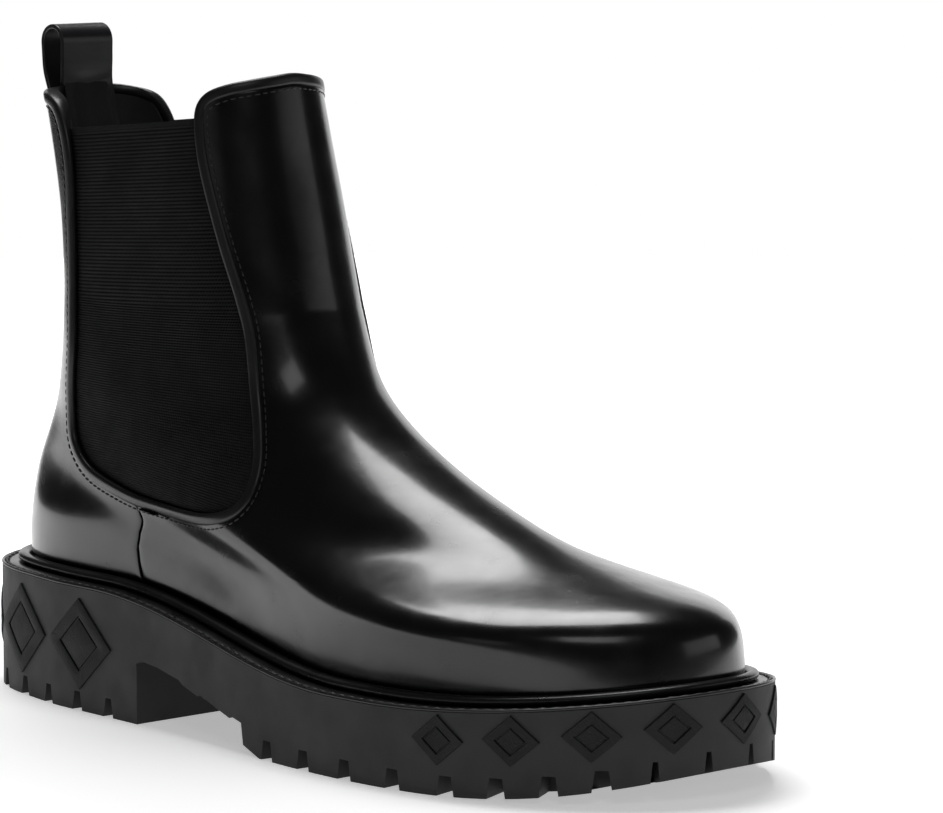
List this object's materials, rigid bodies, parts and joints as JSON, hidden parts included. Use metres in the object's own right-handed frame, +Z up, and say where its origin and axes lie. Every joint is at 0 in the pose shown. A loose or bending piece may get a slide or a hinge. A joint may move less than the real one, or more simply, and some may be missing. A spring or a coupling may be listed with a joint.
{
  "type": "chelsea boot",
  "caption": "Right ankle boot with elastic side gores, a standing pull loop at the heel and a thick lug sole with a low block heel.",
  "frame": {"origin": "on the ground, at the middle of the boot's bounding box", "axes": "+X towards the toe, -Y towards the outer side of the foot, +Z up"},
  "size_m": [0.2855, 0.1044, 0.1952],
  "materials": {
    "sole_rubber": "matte moulded",
    "welt_rubber": "satin",
    "thread": "waxed",
    "cork": "raw",
    "steel": "plain",
    "fibreboard": "raw",
    "lining_leather": "soft",
    "polished_leather": "polished",
    "elastic": "ribbed",
    "binding_leather": "smooth",
    "stiffener": "raw",
    "strap": "smooth"
  },
  "bodies": {
    "boot": {"outsole": "sole_rubber", "welt": "welt_rubber", "rand": "welt_rubber", "welt_stitching": "thread", "bottom_filler": "cork", "shank": "steel", "insole_board": "fibreboard", "footbed": "lining_leather", "vamp": "polished_leather", "quarter": "polished_leather", "gore_lateral": "elastic", "gore_medial": "elastic", "gore_binding_lateral": "binding_leather", "gore_binding_medial": "binding_leather", "collar_binding": "binding_leather", "gore_stitching_lateral": "thread", "gore_stitching_medial": "thread", "collar_stitching": "thread", "pull_tab_stitching": "thread", "vamp_lining": "lining_leather", "quarter_lining": "lining_leather", "toe_puff": "stiffener", "heel_counter": "stiffener", "pull_tab_outer": "strap", "pull_tab_inner": "strap"},
    "shaft_front": {"front_shaft": "polished_leather", "front_shaft_lining": "lining_leather", "front_binding": "binding_leather", "front_stitching": "thread"},
    "loop": {"pull_loop": "strap"}
  },
  "joints": [
    {"name": "shaft_opening", "type": "hinge", "parent": "boot", "child": "shaft_front", "pos_m": [-0.0124, -0.0006, 0.131], "axis": [0, 1, 0], "range_deg": [0, 12], "stiffness_Nm_per_rad": 4},
    {"name": "loop_bend", "type": "hinge", "parent": "boot", "child": "loop", "pos_m": [-0.1216, -0.0006, 0.1784], "axis": [0, 1, 0], "range_deg": [-60, 60], "stiffness_Nm_per_rad": 0.02}
  ]
}
